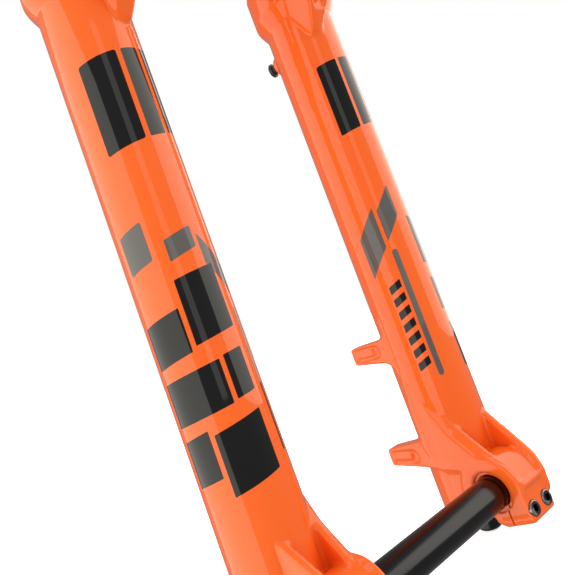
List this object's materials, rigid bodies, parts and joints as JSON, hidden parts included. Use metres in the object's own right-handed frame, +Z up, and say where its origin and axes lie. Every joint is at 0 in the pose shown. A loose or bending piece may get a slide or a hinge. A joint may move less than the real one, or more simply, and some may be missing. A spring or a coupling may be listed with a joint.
{
  "type": "suspension fork",
  "caption": "Dual-crown telescopic bicycle fork with one-piece painted lower legs and arch, gold stanchions, brake posts and a clamped hollow through axle.",
  "frame": {"origin": "centre of the wheel axle, midway between the dropouts", "axes": "+X towards the front of the bike, +Y to its left, +Z up along the legs"},
  "size_m": [0.1112, 0.213, 0.8059],
  "materials": {
    "orange_paint": "gloss orange paint with a clear coat and printed graphics",
    "gold_anodised": "hard anodised, low-friction gold",
    "black_anodised": "gloss black anodised",
    "blue_anodised": "satin blue anodised",
    "red_anodised": "satin red anodised",
    "plated_steel": "clear zinc plated steel",
    "black_steel": "black zinc plated steel",
    "bare_aluminium": "machined",
    "bright_steel": "hard chromed and ground",
    "seal_rubber": "smooth moulded rubber",
    "bumper_rubber": "soft moulded elastomer",
    "moulded_plastic": "moulded nylon",
    "foam": "open-cell oil-soaked foam",
    "bushing_bronze": "sintered bronze and turned brass",
    "crush_copper": "soft copper"
  },
  "bodies": {
    "uppers": {"stanchion_left": "gold_anodised", "stanchion_right": "gold_anodised", "frame_bumper_left": "seal_rubber", "frame_bumper_right": "seal_rubber", "lower_crown": "black_anodised", "lower_crown_bolts": "black_steel", "upper_crown": "black_anodised", "upper_crown_bolts": "black_steel", "steerer_clamp_bolt": "black_steel", "steerer_tube": "bare_aluminium", "crown_race": "bright_steel", "star_nut": "bright_steel", "steerer_cap": "black_anodised", "steerer_cap_bolt": "black_steel", "air_seal_clip": "bright_steel", "air_seal_head": "bare_aluminium", "air_top_cap": "black_anodised", "volume_spacers": "moulded_plastic", "air_valve": "bushing_bronze", "valve_cap": "blue_anodised", "damper_tube": "bare_aluminium", "damper_seal_head": "bare_aluminium", "base_valve": "bare_aluminium", "compression_stem": "bare_aluminium", "damper_top_cap": "black_anodised", "floating_piston_spring": "bright_steel"},
    "lowers": {"lower_casting": "orange_paint", "axle_pinch_bolts": "plated_steel", "crush_washers": "crush_copper", "air_foot_nut": "black_anodised", "damper_foot_nut": "black_anodised", "air_topout_bumper": "bumper_rubber", "air_shaft": "bright_steel", "air_piston": "bare_aluminium", "air_piston_seal": "seal_rubber", "air_bottom_bumper": "bumper_rubber", "damper_topout_bumper": "bumper_rubber", "damper_shaft": "bright_steel", "rebound_piston": "bare_aluminium", "piston_band": "moulded_plastic", "rebound_shims": "bright_steel", "piston_nut": "black_steel", "wiper_seal_left": "seal_rubber", "wiper_seal_right": "seal_rubber", "garter_spring_left": "bright_steel", "garter_spring_right": "bright_steel", "foam_ring_left": "foam", "foam_ring_right": "foam", "upper_bushing_left": "bushing_bronze", "upper_bushing_right": "bushing_bronze", "lower_bushing_left": "bushing_bronze", "lower_bushing_right": "bushing_bronze"},
    "axle": {"axle": "black_anodised"},
    "left_bleeder": {"bleed_button_left": "moulded_plastic"},
    "right_bleeder": {"bleed_button_right": "moulded_plastic"},
    "rebound_adjuster": {"rebound_knob": "red_anodised", "rebound_rod": "bare_aluminium"},
    "low_speed_adjuster": {"low_speed_knob": "black_anodised"},
    "high_speed_adjuster": {"high_speed_knob": "blue_anodised"},
    "floating_piston": {"floating_piston": "bare_aluminium"}
  },
  "joints": [
    {"name": "fork_travel", "type": "slide", "parent": "uppers", "child": "lowers", "axis": [0, 0, 1], "range_m": [0, 0.203], "stiffness_N_per_m": 6000, "springref_m": -0.02},
    {"name": "floating_piston_slide", "type": "slide", "parent": "uppers", "child": "floating_piston", "axis": [0, 0, 1], "range_m": [0, 0.0283], "deforming": ["floating_piston_spring"]},
    {"name": "axle_withdrawal", "type": "slide", "parent": "lowers", "child": "axle", "axis": [0, -1, 0], "range_m": [0, 0.14]},
    {"name": "left_bleed_press", "type": "slide", "parent": "lowers", "child": "left_bleeder", "axis": [0.9272, 0.3746, 0], "range_m": [0, 0.0015], "stiffness_N_per_m": 1200, "springref_m": -0.001},
    {"name": "right_bleed_press", "type": "slide", "parent": "lowers", "child": "right_bleeder", "axis": [0.9272, -0.3746, 0], "range_m": [0, 0.0015], "stiffness_N_per_m": 1200, "springref_m": -0.001},
    {"name": "rebound_turn", "type": "hinge", "parent": "lowers", "child": "rebound_adjuster", "pos_m": [-0.032, -0.078, -0.03], "axis": [0, 0, -1], "range_deg": [-360, 360]},
    {"name": "low_speed_turn", "type": "hinge", "parent": "uppers", "child": "low_speed_adjuster", "pos_m": [-0.032, -0.078, 0.765], "axis": [0, 0, 1], "range_deg": [-270, 270]},
    {"name": "high_speed_turn", "type": "hinge", "parent": "uppers", "child": "high_speed_adjuster", "pos_m": [-0.032, -0.078, 0.76], "axis": [0, 0, 1], "range_deg": [-180, 180]}
  ],
  "couplings": [
    {"joint": "floating_piston_slide", "follows": "fork_travel", "ratio": 0.1389}
  ]
}
